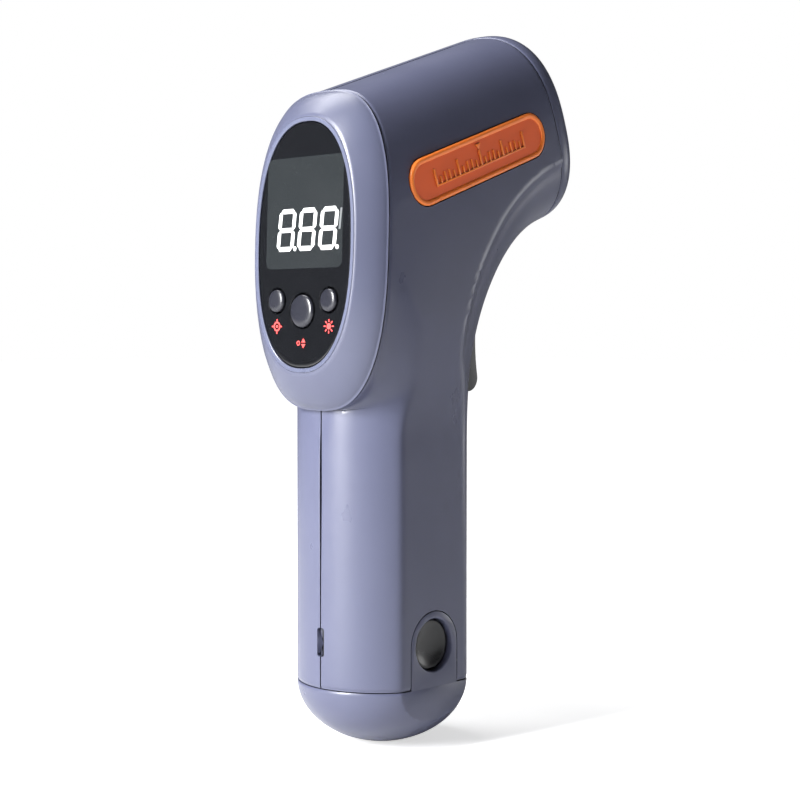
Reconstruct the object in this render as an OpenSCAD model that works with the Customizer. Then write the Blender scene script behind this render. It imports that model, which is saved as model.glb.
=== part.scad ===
// Pistol-shaped infrared thermometer: upright grip, barrel tilted upward,
// oval display end facing the user and an infrared lens in the nose.
// +Z up along the grip, +Y the way the barrel points, X across.
// The origin is the centre of the outer box at its lowest point.

/* [Grip] */
// Width of the grip across its two flats
grip_w = 29.8; // [27:0.1:34]
// Radius of the rounded back and front of the grip
grip_r = 17.5; // [16.8:0.1:21]
// Extra depth between the back round and the front round
grip_stretch = 1.15; // [0:0.05:3]
// Height of the seam between grip and battery cap
cap_z = 13.2; // [11:0.1:16]
// Height where the straight front of the grip starts to curve forward
curve_z = 62.3; // [58:0.1:70]

/* [Barrel] */
// Upward tilt of the barrel
tilt = 19.7; // [15:0.1:24]
// Lowest point of the seam between body and display bezel
seam_low_z = 69.7; // [66:0.1:74]
// Height of the widest point of the display end
oval_z = 104.2; // [101:0.1:108]
// Height of the display end above its widest point
oval_up = 30.8; // [27:0.1:36]
// Half width of the display end
oval_half = 18.9; // [17:0.1:22]
// Squareness of the display end's oval
oval_n = 2.7; // [2.2:0.05:3.2]
// Forward lean of the bezel seam
bezel_lean = 1.7; // [0:0.1:4]
// Distance of the nose seam in front of the grip's back round centre
nose_y = 37; // [34:0.5:44]
// Half width of the nose
nose_half = 18; // [16.5:0.1:21]
// Half height of the nose
nose_up = 21.7; // [19.5:0.1:24]
// Squareness of the nose outline
nose_n = 2.48; // [2.2:0.02:3]
// Depth of the nose ring in front of its seam
ring_depth = 5.6; // [4.5:0.1:8]

/* [Walls and fits] */
// Wall thickness of the body shells
wall = 2; // [1.6:0.1:2.4]
// Gap between fixed pieces that sit in each other
fit_gap = 0.15; // [0.1:0.01:0.25]
// Gap round the rims that seat the bezel and the nose ring in the shells
rim_gap = 0.45; // [0.35:0.05:0.6]
// Radial clearance of pieces that move in a hole
run_gap = 0.2; // [0.15:0.01:0.3]

/* [Display] */
// Height of the bezel in front of its seam
bezel_depth = 5.7; // [4.5:0.1:8]
// Half width of the display window
window_half = 13.3; // [12:0.1:14.5]
// Half height of the display window
window_up = 24.8; // [23:0.1:26]
// Squareness of the window outline
window_n = 2.35; // [2.1:0.05:2.8]
// Thickness of the display window
window_t = 1.5; // [1:0.1:2]
// Width of the lip around the window
lip_w = 1.2; // [0.8:0.1:1.8]
// Width of the liquid crystal panel
lcd_w = 21.6; // [18:0.1:22]
// Height of the liquid crystal panel
lcd_h = 21; // [18:0.5:22]
// Radius of the middle key
key_mid_r = 3.2; // [2.4:0.1:3.6]
// Radius of the two side keys
key_side_r = 2.3; // [1.8:0.1:2.8]
// Travel of the keys
key_travel = 0.6; // [0.3:0.1:0.7]

/* [Trigger] */
// Width of the trigger
trigger_w = 10.4; // [8:0.1:13]
// How far the trigger's face stands in front of the back round centre
trigger_y = 25.3; // [24:0.1:27]
// Height of the trigger's lower end
trigger_low = 72.8; // [70:0.1:76]
// Height of the trigger's hinge pin
trigger_pin_z = 98; // [95:0.5:100]
// Radius of the trigger's hinge pin
trigger_pin_r = 1.5; // [1:0.1:2]

/* [Battery cap] */
// Width of the cap's two tongues
tongue_w = 13.7; // [11.5:0.1:16]
// Height of the release buttons' centres
release_z = 21.5; // [20:0.1:24]
// Radius of the release buttons
release_r = 5.2; // [4:0.1:5.6]
// How far the release buttons' faces lie below the flats
release_inset = 1.2; // [0.6:0.1:1.6]
// Diameter of a battery cell
cell_d = 10.5; // [10:0.1:10.5]
// Length of a battery cell over its contact
cell_l = 44.5; // [43:0.1:44.6]

/* [Badge and lanyard] */
// Length of the side badge
badge_l = 45.6; // [38:0.1:48]
// Height of the side badge
badge_h = 9.7; // [8:0.1:11]
// Height of the lanyard slot
slot_h = 5.9; // [4.5:0.1:8]
// Width of the lanyard slot
slot_w = 2; // [1.6:0.1:2.6]

/* [Hidden] */

$fn = 48;
flat_x = grip_w / 2;
grip_mid = grip_stretch / 2;
grip_front = grip_r + grip_stretch;
// Point under which the grip flats start to widen into the barrel's sides
widen_low = seam_low_z - 5.7;
widen_high = seam_low_z + 24.3;
oval_down = oval_z - seam_low_z;
oval_top = oval_z + oval_up;
seam_low_y = -grip_r - 0.15;
// The barrel's top line runs from the bezel seam to the nose, and sets the nose's height
axis_dir = [cos(tilt), sin(tilt)];
axis_up = [-sin(tilt), cos(tilt)];
top_start = [seam_y(oval_top), oval_top];
nose_z = top_start[1] + (nose_y - nose_up * sin(tilt) - top_start[0]) * tan(tilt)
    - nose_up * cos(tilt);
nose_mid = [nose_y, nose_z];
nose_low = nose_mid - nose_up * axis_up;
nose_high = nose_mid + nose_up * axis_up;
// Concave curve from the grip's front to the nose's lower edge
curve_low = [grip_front, curve_z];
curve_in = curve_low + [0, 14.2];
curve_out = nose_low - 25.8 * axis_dir;
CURVE_STEPS = 22;
// Barrel heights as measured back along its axis to the bezel seam
nose_low_e = axis_height(nose_low[0], nose_low[1]);
nose_mid_e = axis_height(nose_mid[0], nose_mid[1]);
BLEND = 6;
// Frees the sides from the front rounding well behind it
RELIEF = 4;
relief_in = 12;
relief_run = 8;
// Height over which the front turns from the grip's round to the barrel's
turn_z = 75;
turn_h = 30;
ACROSS = 18;
EDGE = 0.04;

function clamp01(t) = min(1, max(0, t));
function smooth(t) = let (c = clamp01(t)) c * c * (3 - 2 * c);
function seam_y(z) = seam_low_y + (z - seam_low_z) * tan(bezel_lean);
function axis_height(y, z) = (z - (y - seam_y(0)) * tan(tilt)) / (1 - tan(bezel_lean) * tan(tilt));
// Half width of a superellipse at a share q of its half height
function oval_at(q, n) = pow(max(0, 1 - pow(min(1, abs(q)), n)), 1 / n);
function oval_x(z, inset) =
    (oval_half - inset) * oval_at((z - oval_z) / ((z > oval_z ? oval_up : oval_down) - inset), oval_n);
function round_x(depth, inset) =
    sqrt(max(0, pow(grip_r - inset, 2) - pow(max(0, grip_r - depth), 2)));
function nose_x(depth, inset, half) =
    (half - inset) * oval_at(max(0, nose_up - depth) / (nose_up - inset), nose_n);
function curve_at(t) = pow(1 - t, 3) * curve_low + 3 * pow(1 - t, 2) * t * curve_in
    + 3 * (1 - t) * t * t * curve_out + pow(t, 3) * nose_low;
function curve_dir(t) = let (d = 3 * pow(1 - t, 2) * (curve_in - curve_low)
    + 6 * (1 - t) * t * (curve_out - curve_in) + 3 * t * t * (nose_low - curve_out)) d / norm(d);
function curve_inset(t, inset) = let (d = curve_dir(t)) curve_at(t) + inset * [-d[1], d[0]];
curve_line = [for (k = [0 : CURVE_STEPS]) curve_at(k / CURVE_STEPS)];
function to_segment(p, a, b) = let (t = clamp01(((p - a) * (b - a)) / ((b - a) * (b - a))))
    norm(p - a - t * (b - a));
// Distance of a point inside the outline from the grip's front and the concave curve
function front_depth(p) = p[1] <= curve_z ? grip_front - p[0]
    : min([for (k = [1 : CURVE_STEPS]) to_segment(p, curve_line[k - 1], curve_line[k])]);

// Half width of the body at a point of its side view
function body_x(p, inset) = let (
    e = axis_height(p[0], p[1]),
    along = clamp01((p[0] - seam_y(p[1])) / (nose_y - seam_y(p[1]))),
    at_bezel = oval_x(e, inset),
    above = max(0, e - nose_mid_e) / (oval_top - nose_mid_e - inset),
    at_nose = (nose_half - inset) * oval_at(above, nose_n),
    side = (1 - along) * at_bezel + along * at_nose,
    back = round_x(p[0] + grip_r, inset),
    rear = pow(pow(side, BLEND) + pow(back, BLEND), 1 / BLEND),
    upper = e > nose_mid_e ? side : rear,
    depth = front_depth(p),
    turn = smooth((p[1] - depth * 0.3 - turn_z) / turn_h),
    under_half = oval_half + (nose_half - oval_half) * along,
    front = (1 - turn) * round_x(depth, inset) + turn * nose_x(depth, inset, under_half)
        + RELIEF * smooth((depth - relief_in) / relief_run),
    flat = flat_x - inset + (oval_half + 0.1 - flat_x) * smooth((p[1] - widen_low) / (widen_high - widen_low))
) max(EDGE, min(upper, front, flat, under_half - inset));

// Side view stations from the cap seam to the top line: [back point, front point]
LOW_STEPS = 3;
MID_STEPS = 9;
TOP_STEPS = 16;
MID_SHARE = 0.3;
MID_POWER = 1.8;
function stations(inset, past) = let (
    back_y = -grip_r + inset,
    split_z = seam_low_z + inset,
    top_z = oval_top - inset
) concat(
    [[[back_y, cap_z - past], [grip_front - inset, cap_z - past]]],
    [for (k = [0 : LOW_STEPS]) let (f = k / LOW_STEPS)
        [[back_y, curve_z + (split_z - curve_z) * f], curve_inset(f * MID_SHARE, inset)]],
    [for (k = [(inset > 0 ? 0 : 1) : MID_STEPS]) let (f = k / MID_STEPS,
        z = split_z + (nose_low_e + inset - split_z) * pow(f, MID_POWER))
        [[seam_y(z) - past, z - past * tan(tilt) * f],
            curve_inset(MID_SHARE + (1 - MID_SHARE) * f, inset) + past * f * axis_dir]],
    [for (k = [1 : TOP_STEPS]) let (f = (1 - cos(180 * k / TOP_STEPS)) / 2,
        z = nose_low_e + inset + (top_z - nose_low_e - inset) * f,
        low = nose_low + inset * axis_up, high = nose_high - inset * axis_up)
        [[seam_y(z) - past, z - past * tan(tilt)], low + (high - low) * f + past * axis_dir]]
);

// Half of the body, from the plane x = start_x out to its side
module half_body(inset, past, start_x) {
    rows = stations(inset, past);
    last = len(rows) - 1;
    shares = [for (i = [0 : ACROSS]) (1 - cos(180 * i / ACROSS)) / 2];
    places = [for (r = rows) for (s = shares) r[0] + (r[1] - r[0]) * s];
    outer = [for (p = places) [body_x(p, inset), p[0], p[1]]];
    inner = [for (p = places) [start_x, p[0], p[1]]];
    n = len(places);
    w = ACROSS + 1;
    polyhedron(concat(outer, inner), concat(
        [for (j = [0 : last - 1]) for (i = [0 : ACROSS - 1]) each [
            [j * w + i, (j + 1) * w + i, (j + 1) * w + i + 1],
            [j * w + i, (j + 1) * w + i + 1, j * w + i + 1]]],
        [for (j = [0 : last - 1]) for (i = [0 : ACROSS - 1]) each [
            [n + j * w + i, n + (j + 1) * w + i + 1, n + (j + 1) * w + i],
            [n + j * w + i, n + j * w + i + 1, n + (j + 1) * w + i + 1]]],
        [for (i = [0 : ACROSS - 1]) each [
            [i, i + 1, n + i + 1], [i, n + i + 1, n + i],
            [last * w + i, n + last * w + i + 1, last * w + i + 1],
            [last * w + i, n + last * w + i, n + last * w + i + 1]]],
        [for (j = [0 : last - 1]) each [
            [j * w, n + j * w, n + (j + 1) * w], [j * w, n + (j + 1) * w, (j + 1) * w],
            [j * w + ACROSS, n + (j + 1) * w + ACROSS, n + j * w + ACROSS],
            [j * w + ACROSS, (j + 1) * w + ACROSS, n + (j + 1) * w + ACROSS]]]
    ));
}

// Placements: the bezel's seam plane and the nose's seam plane, local +Y inward and forward
module on_bezel() {
    translate([0, seam_y(oval_z), oval_z]) rotate([-bezel_lean, 0, 0]) children();
}
module on_nose() {
    translate([0, nose_y, nose_z]) rotate([tilt, 0, 0]) children();
}
// A round bar along local Y from y0 to y1
module y_bar(r, y0, y1) {
    translate([0, y0, 0]) rotate([-90, 0, 0]) cylinder(r = r, h = y1 - y0);
}
module y_tube(r, bore, y0, y1) {
    difference() {
        y_bar(r, y0, y1);
        y_bar(bore, y0 - 1, y1 + 1);
    }
}
module x_bar(r, x0, x1) {
    translate([x0, 0, 0]) rotate([0, 90, 0]) cylinder(r = r, h = x1 - x0);
}

// Outlines in the seam planes
OVAL_POINTS = 56;
function oval_ring(half, up, down, n, count = OVAL_POINTS) = [for (k = [0 : count - 1])
    let (a = 360 * k / count, c = cos(a), s = sin(a),
        x = sign(c) * pow(abs(c), 2 / n), z = sign(s) * pow(abs(s), 2 / n))
    [half * x, (s > 0 ? up : down) * z]];
function seam_ring(inset) = oval_ring(oval_half - inset, oval_up - inset, oval_down - inset, oval_n);
function window_ring(grow) = let (half = window_half + grow, up = window_up + grow)
    [for (p = oval_ring(half, up, up, window_n)) p + [0, window_z]];
function nose_ring_points(inset) = oval_ring(nose_half - inset, nose_up - inset, nose_up - inset, nose_n);
window_z = -1;
// Extrudes an outline in local XZ from y0 to y1
module plate(points, y0, y1) {
    translate([0, y1, 0]) rotate([90, 0, 0]) linear_extrude(y1 - y0) polygon(points);
}
// Closed solid through rings of equal length; each ring is a list of [x, y, z]
module loft(rings) {
    n = len(rings[0]);
    last = len(rings) - 1;
    polyhedron([for (r = rings) each r], concat(
        [[for (i = [0 : n - 1]) i]],
        [for (j = [0 : last - 1]) for (i = [0 : n - 1]) let (k = (i + 1) % n) each [
            [j * n + i, (j + 1) * n + i, (j + 1) * n + k],
            [j * n + i, (j + 1) * n + k, j * n + k]]],
        [[for (i = [n - 1 : -1 : 0]) last * n + i]]
    ));
}

// Case screws: [y, z] on the left side
screw_r = 1.2;
screw_head_r = 2.3;
screw_head_t = 1.6;
screw_sink = 2.2;
boss_r = 3.2;
screw_spots = [[grip_mid, 67], [-9, 99], [24, 109.8]];
function side_x(p) = body_x(p, 0);
pin_spot = [19.5, trigger_pin_z];
pin_half = 9;
pin_boss_r = trigger_pin_r + 1.6;
board_x = -11;
board_t = 1.6;
board_posts = [[-2.5, 93], [8, 105]];
post_r = 2.4;
// Share of the wall that bosses reach into
boss_bite = 0.3;
badge_mid = [11, 122];
badge_t = 1.4;
badge_proud = 0.35;
tongue_t = wall;
tongue_top_r = tongue_w / 2;
slot_z = release_z + 1.05;
bar_r = 0.8;
bar_y = -grip_r + wall + bar_r + 1.3;
trigger_slot_w = trigger_w + 2 * run_gap + 0.4;

// Stadium centred on the badge; x0 and x1 count outward from the body's side there
side_taper = atan((oval_half - nose_half) / (nose_y - seam_y(oval_z)));
module side_stadium(length, height, x0, x1) {
    translate([side_x(badge_mid), badge_mid[0], badge_mid[1]])
    rotate([tilt, 0, 0]) rotate([0, 0, side_taper]) {
        translate([x0, -(length - height) / 2, -height / 2]) cube([x1 - x0, length - height, height]);
        for (s = [-1, 1]) translate([0, s * (length - height) / 2, 0]) x_bar(height / 2, x0, x1);
    }
}
badge_seat = badge_proud - badge_t;
// Space that the cap's tongue takes on the right side, grown by a gap
module tongue_space(gap, x0, x1, z0) {
    half = tongue_w / 2 + gap;
    translate([0, grip_mid, 0]) {
        translate([x0, -half, z0]) cube([x1 - x0, 2 * half, release_z - z0]);
        translate([0, 0, release_z]) x_bar(half, x0, x1);
    }
}

// Right half of the case without its screw features
module case_half() {
    difference() {
        half_body(0, 0, 0);
        half_body(wall, 1, -1);
        tongue_space(run_gap, flat_x - wall - 1, flat_x + 2, cap_z - 1);
        side_stadium(badge_l + 2 * fit_gap, badge_h + 2 * fit_gap, badge_seat, 5);
        translate([-1, -grip_r - 1, slot_z - slot_h / 2]) cube([slot_w / 2 + 1, wall + 3, slot_h]);
        translate([-1, grip_front - wall - 2, trigger_low - 1.2])
            cube([trigger_slot_w / 2 + 1, 14, trigger_pin_z - trigger_low]);
    }
}
// Solid of the half's inner space, used to trim bosses to the wall
module case_posts() {
    intersection() {
        half_body(wall * (1 - boss_bite), 0, 0);
        union() {
            for (p = screw_spots) translate([0, p[0], p[1]]) x_bar(boss_r, 0, 30);
            difference() {
                translate([0, pin_spot[0], pin_spot[1]]) x_bar(pin_boss_r, trigger_w / 2 + 0.5, 30);
                translate([0, pin_spot[0], pin_spot[1]]) x_bar(trigger_pin_r, 0, pin_half);
            }
            translate([0, bar_y, slot_z]) difference() {
                x_bar(bar_r + 1.2, 3, 12);
                x_bar(bar_r + 0.05, 0, 5.1);
            }
        }
    }
}

module right_shell() {
    color([0.36, 0.37, 0.46]) difference() {
        union() {
            case_half();
            case_posts();
        }
        for (p = screw_spots) translate([0, p[0], p[1]]) x_bar(screw_r, -1, 7);
    }
}

module left_shell() {
    color([0.36, 0.37, 0.46]) difference() {
        union() {
            mirror([1, 0, 0]) {
                case_half();
                case_posts();
            }
            intersection() {
                mirror([1, 0, 0]) half_body(wall * (1 - boss_bite), 0, 0);
                for (p = board_posts) translate([0, p[0], p[1]]) x_bar(post_r, -30, board_x);
            }
        }
        for (p = screw_spots) translate([0, p[0], p[1]]) {
            x_bar(screw_r + 0.2, -30, 1);
            x_bar(screw_head_r + 0.3, -30, -side_x(p) + screw_sink);
        }
    }
}

module case_screws() {
    color("dimgray") for (p = screw_spots) translate([0, p[0], p[1]]) difference() {
        union() {
            x_bar(screw_r, -side_x(p) + screw_sink, 6.5);
            x_bar(screw_head_r, -side_x(p) + screw_sink - screw_head_t, -side_x(p) + screw_sink);
        }
        for (a = [0, 90]) rotate([a, 0, 0])
            translate([-side_x(p) + screw_sink - screw_head_t - 1, -0.3, -1.3]) cube([1.8, 0.6, 2.6]);
    }
}

// Display end: local -Y faces the user
BEZEL_RINGS = 7;
window_face = -bezel_depth;
function bezel_ring(f, inset) = let (shrink = pow(max(0, f), 1.5),
    a = seam_ring(inset), b = window_ring(lip_w - inset))
    [for (i = [0 : OVAL_POINTS - 1]) let (p = a[i] + (b[i] - a[i]) * shrink) [p[0], -bezel_depth * f, p[1]]];
spigot_l = 2.2;
bezel_wall = 1.8;

// Fills the shells' mouth from y0 to y1, and rises with the barrel
module seam_rim(gap, y0, y1) {
    loft([for (y = [y1, y0]) [for (p = seam_ring(wall + gap)) [p[0], y, p[1] + y * tan(tilt)]]]);
}
module display_bezel() {
    color([0.38, 0.39, 0.48]) on_bezel() difference() {
        union() {
            loft([for (k = [0 : BEZEL_RINGS]) bezel_ring(k / BEZEL_RINGS, 0)]);
            seam_rim(rim_gap, -0.5, spigot_l);
        }
        seam_rim(rim_gap + 1.2, -1.6, spigot_l + 1);
        loft([for (k = [1.2, 2, 3, 4, 5]) bezel_ring(k / BEZEL_RINGS, bezel_wall)]);
        plate(window_ring(fit_gap), window_face - 1, window_face + window_t);
        plate(window_ring(-1.4), window_face - 1, 1);
    }
}

key_z = [-14.4, -12.3];
key_x = 7.6;
// Centre and radius of each key in the bezel's plane
KEY_SPOTS = [[-key_x, key_z[1], key_side_r], [0, key_z[0], key_mid_r], [key_x, key_z[1], key_side_r]];
key_proud = 0.5;
key_flange_t = 0.8;
flange_y = window_face + window_t + 0.1;
mat_y = 1.4;
board_y = spigot_l;
dome_h = 0.5;
key_foot_y = mat_y - dome_h - key_travel - 0.1;

module display_window() {
    color([0.1, 0.1, 0.11]) on_bezel() difference() {
        plate(window_ring(0), window_face, window_face + window_t);
        for (k = KEY_SPOTS) translate([k[0], 0, k[1]]) y_bar(k[2] + run_gap, window_face - 1, 0);
    }
}

module key(spot) {
    on_bezel() translate([spot[0], 0, spot[1]]) {
        y_bar(spot[2], window_face - key_proud, flange_y + 0.1);
        y_bar(spot[2] + 0.8, flange_y, flange_y + key_flange_t);
        y_bar(spot[2] - 0.9, flange_y + 0.4, key_foot_y);
    }
}
module key_laser() { color([0.3, 0.31, 0.37]) key(KEY_SPOTS[0]); }
module key_unit() { color([0.3, 0.31, 0.37]) key(KEY_SPOTS[1]); }
module key_light() { color([0.3, 0.31, 0.37]) key(KEY_SPOTS[2]); }

module keypad_mat() {
    color("gray") on_bezel() {
        translate([-11, mat_y, -18.5]) cube([22, board_y - mat_y, 10.3]);
        for (k = KEY_SPOTS) translate([k[0], 0, k[1]]) y_bar(k[2] - 0.5, mat_y - dome_h, mat_y + 0.1);
    }
}

lcd_z = 5.5;
lcd_t = 2;
lcd_y = flange_y + 0.1;
light_t = 1.6;
module centred_block(w, h, y0, y1, z) {
    translate([-w / 2, y0, z - h / 2]) cube([w, y1 - y0, h]);
}
module lcd_panel() {
    color("darkslategray") on_bezel() centred_block(lcd_w, lcd_h, lcd_y, lcd_y + lcd_t, lcd_z);
}
module backlight_plate() {
    color("white") on_bezel()
        centred_block(lcd_w, lcd_h, lcd_y + lcd_t + 0.1, lcd_y + lcd_t + 0.1 + light_t, lcd_z);
}
module lcd_frame() {
    color("black") on_bezel() difference() {
        centred_block(lcd_w + 1.8, lcd_h + 1.8, lcd_y, board_y, lcd_z);
        centred_block(lcd_w + 0.2, lcd_h + 0.2, lcd_y - 1, lcd_y + lcd_t + light_t + 0.2, lcd_z);
    }
}
module display_board() {
    color("darkgreen") on_bezel() difference() {
        seam_rim(rim_gap + 0.4, board_y, board_y + board_t);
        for (x = [-1, 1]) translate([x * 9, 0, -26]) y_bar(1.1, 0, 6);
    }
}

// Main board on the left side of the barrel, with the trigger's switch on its lower tab
module main_board() {
    color("darkgreen") difference() {
        translate([board_x, 0, 0]) rotate([90, 0, 90]) linear_extrude(board_t)
            polygon([[-5.5, 86], [1, 86], [1, 75], [12.5, 75], [12.5, 127], [-5.5, 121]]);
        for (p = board_posts) translate([0, p[0], p[1]]) x_bar(1, board_x - 1, board_x + board_t + 1);
    }
}
switch_x = board_x + board_t;
switch_back = 6;
switch_front = 11.5;
switch_low = 77;
module trigger_switch() {
    color([0.15, 0.15, 0.16]) {
        translate([switch_x, switch_back, switch_low]) cube([3 - switch_x, switch_front - switch_back, 14]);
        translate([0, 0, switch_low + 3.5]) y_bar(1.4, switch_front - 0.5, switch_front + 0.8);
    }
}
module buzzer() {
    color("black") translate([0, 4, 117]) difference() {
        x_bar(5.5, switch_x, switch_x + 3.4);
        x_bar(0.9, switch_x + 2, switch_x + 4);
    }
}

// Trigger: side outline extruded across the width
function arc(c, r, from, to, steps) =
    [for (k = [0 : steps]) let (a = from + (to - from) * k / steps) c + r * [cos(a), sin(a)]];
trigger_back_y = 15.6;
module trigger() {
    round_r = 3;
    color([0.1, 0.1, 0.11]) difference() {
        translate([-trigger_w / 2, 0, 0]) rotate([90, 0, 90]) linear_extrude(trigger_w) polygon(concat(
            arc(pin_spot, 3.5, 60, 200, 12),
            [[trigger_back_y, trigger_low + 8], [trigger_back_y + 1, trigger_low + 0.6]],
            arc([trigger_y - round_r, trigger_low + round_r], round_r, -90, 0, 6),
            [[trigger_y, pin_spot[1] - 5]]
        ));
        translate([0, pin_spot[0], pin_spot[1]]) x_bar(trigger_pin_r + 0.06, -10, 10);
    }
}
module trigger_pin() {
    color("silver") translate([0, pin_spot[0], pin_spot[1]]) x_bar(trigger_pin_r, -pin_half, pin_half);
}
// Coil between the switch's holder and the trigger's back
spring_z = 88;
spring_wire = 0.45;
spring_r = 2;
spring_turns = 3;
COIL_SIDES = 6;
// Half a turn of wire round local Y, tipped so that it climbs by rise; way is 1 or -1
module half_turn(r, wire, rise, way) {
    tip = atan(rise / (2 * r));
    translate([0, rise / 2, 0]) rotate([0, 0, -way * tip]) rotate([-90, 0, 0])
        rotate([0, 0, way > 0 ? 0 : 180]) rotate_extrude(angle = 180, $fn = 24)
            translate([r / cos(tip), 0]) circle(wire, $fn = COIL_SIDES);
}
module coil_y(r, wire, y0, y1, turns) {
    rise = (y1 - y0 - 2 * wire) / (2 * turns);
    for (k = [0 : 2 * turns - 1])
        translate([0, y0 + wire + rise * k, 0]) half_turn(r, wire, rise, k % 2 == 0 ? 1 : -1);
}
module trigger_spring() {
    color("silver") translate([0, 0, spring_z])
        coil_y(spring_r, spring_wire, switch_front + 0.1, trigger_back_y, spring_turns);
}

// Nose
RING_STEPS = 8;
nose_open = 4.6;
ring_round = 4;
plate_in = 1.2;
plate_t = 2;
function ring_y(k) = ring_depth - ring_round + ring_round * sin(90 * k / RING_STEPS);
function ring_inset(k) = 0.8 * ring_round * (1 - cos(90 * k / RING_STEPS));
function ring_loop(y, inset) = [for (p = nose_ring_points(inset)) [p[0], y, p[1]]];
module nose_ring() {
    color([0.36, 0.37, 0.46]) on_nose() difference() {
        union() {
            loft(concat(
                [for (k = [RING_STEPS : -1 : 0]) ring_loop(ring_y(k), ring_inset(k))],
                [ring_loop(0, 0)]));
            plate(nose_ring_points(wall + rim_gap), -3, 0.5);
        }
        plate(nose_ring_points(wall + rim_gap + 1.3), -4, plate_in);
        loft([ring_loop(ring_depth + 1, nose_open - 1.2), ring_loop(plate_in - 1, nose_open)]);
    }
}
tube_z = -3.2;
tube_r = 8.6;
mouth_r = 7.4;
mouth_l = 5;
lens_r = 6.6;
tube_front = 3;
tube_back = -21;
laser_z = 11.2;
laser_r = 3;
module nose_plate() {
    color([0.12, 0.12, 0.13]) on_nose() difference() {
        plate(nose_ring_points(wall + rim_gap + 1.35), plate_in - plate_t, plate_in);
        translate([0, 0, tube_z]) y_bar(tube_r + 0.05, -5, 5);
        translate([0, 0, laser_z]) y_bar(laser_r + 0.05, -5, 5);
    }
}
module lens_tube() {
    color([0.1, 0.1, 0.11]) on_nose() translate([0, 0, tube_z]) difference() {
        y_bar(tube_r, tube_back, tube_front);
        y_bar(mouth_r, tube_front - mouth_l, tube_front + 1);
        y_bar(lens_r, -8, tube_front);
        y_bar(lens_r - 1, tube_back - 1, 0);
    }
}
module infrared_lens() {
    color([0.35, 0.3, 0.3]) on_nose() translate([0, 0, tube_z]) y_bar(lens_r - 0.05, -7.9, -6.3);
}
module lens_retainer() {
    color("black") on_nose() translate([0, 0, tube_z])
        y_tube(lens_r - 0.03, lens_r - 1.2, -6.2, tube_front - mouth_l - 0.2);
}
module thermopile_sensor() {
    color("silver") on_nose() translate([0, 0, tube_z]) difference() {
        union() {
            y_bar(4.1, tube_back - 0.1, tube_back + 3.4);
            y_bar(4.7, tube_back - 0.1, tube_back + 0.6);
        }
        y_bar(1.3, tube_back + 3.1, tube_back + 4);
    }
}
module sensor_board() {
    color("darkgreen") on_nose() translate([0, 0, tube_z]) y_bar(tube_r, tube_back - 1.8, tube_back - 0.15);
}
module laser_module() {
    color("goldenrod") on_nose() translate([0, 0, laser_z]) difference() {
        y_bar(laser_r, -14, -0.4);
        y_bar(1.6, -3, 0);
    }
}
module laser_window() {
    color([0.3, 0.1, 0.1]) on_nose() translate([0, 0, laser_z]) y_bar(laser_r, -0.3, plate_in - 0.2);
}

// Stadium badge with a raised rim, on one side
rim_w = 1;
panel_sink = 0.4;
module badge() {
    difference() {
        side_stadium(badge_l, badge_h, badge_seat + 0.05, badge_proud);
        side_stadium(badge_l - 2 * rim_w, badge_h - 2 * rim_w, badge_proud - panel_sink, badge_proud + 1);
    }
}
module badge_right() { color([0.87, 0.45, 0.25]) badge(); }
module badge_left() { color([0.87, 0.45, 0.25]) mirror([1, 0, 0]) badge(); }

// Batteries stand side by side in the grip
cell_x = cell_d / 2 + 0.25;
cell_low = cap_z + 2.5;
cell_high = cell_low + cell_l;
contact_t = 0.4;
tray_low = release_z + tongue_top_r + 1.6;
tray_high = cell_high + 2.4;
module battery_tray() {
    color([0.13, 0.13, 0.14]) difference() {
        translate([-(flat_x - wall - 0.2), grip_mid - cell_d / 2 - 2, tray_low])
            cube([2 * (flat_x - wall - 0.2), cell_d + 4, tray_high - tray_low]);
        for (s = [-1, 1]) translate([s * cell_x, grip_mid, tray_low - 1])
            cylinder(r = cell_d / 2 + 0.1, h = cell_high + 0.9 - tray_low + 1);
    }
}
module battery_cells() {
    color([0.25, 0.45, 0.3]) for (s = [-1, 1]) translate([s * cell_x, grip_mid, 0]) {
        nub = s > 0 ? 1 : 0;
        translate([0, 0, cell_low + 0.9 * (1 - nub)]) cylinder(r = cell_d / 2, h = cell_l - 0.9);
        translate([0, 0, nub > 0 ? cell_high - 1 : cell_low]) cylinder(r = 1.9, h = 1);
    }
}
module cell_contacts() {
    color("silver") for (s = [-1, 1]) translate([s * cell_x, grip_mid, 0]) {
        translate([0, 0, cell_high + 0.5]) cylinder(r = 4, h = contact_t);
        translate([0, 0, cell_high + 0.05]) cylinder(r = 1.4, h = 0.5);
    }
}

// Battery cap: domed foot with two tongues that carry the release buttons
DOME_STEPS = 9;
function dome_ring(a, inset) = let (r = (grip_r - inset) * cos(a), z = cap_z - (cap_z - inset) * sin(a))
    [for (k = [0 : OVAL_POINTS - 1]) let (t = 360 * k / OVAL_POINTS, way = sin(t) > 0 ? 1 : -1)
        [r * cos(t), grip_mid + r * sin(t) + way * grip_mid * cos(a), z]];
module dome(inset, flat) {
    intersection() {
        loft([for (k = [DOME_STEPS : -1 : 0]) dome_ring(88.5 * sin(90 * k / DOME_STEPS), inset)]);
        translate([-flat, -50, -1]) cube([2 * flat, 100, cap_z + 1]);
    }
}
module cap_tongue() {
    tongue_space(0, flat_x - tongue_t, flat_x, cap_z - 4);
}
module battery_cap() {
    color([0.36, 0.37, 0.46]) difference() {
        union() {
            difference() {
                dome(0, flat_x);
                difference() {
                    translate([0, 0, 0.01]) dome(wall, flat_x - wall);
                    translate([-20, grip_mid - 4, 0]) cube([40, 8, cap_z - 1.5]);
                }
            }
            cap_tongue();
            mirror([1, 0, 0]) cap_tongue();
        }
        translate([0, grip_mid, release_z]) x_bar(release_r + run_gap, -20, 20);
        for (s = [-1, 1]) translate([s * leaf_x - leaf_t / 2 - run_gap, grip_mid - leaf_w / 2 - 0.4, cap_z - 7])
            cube([leaf_t + 2 * run_gap, leaf_w + 0.8, 6]);
    }
}
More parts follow.
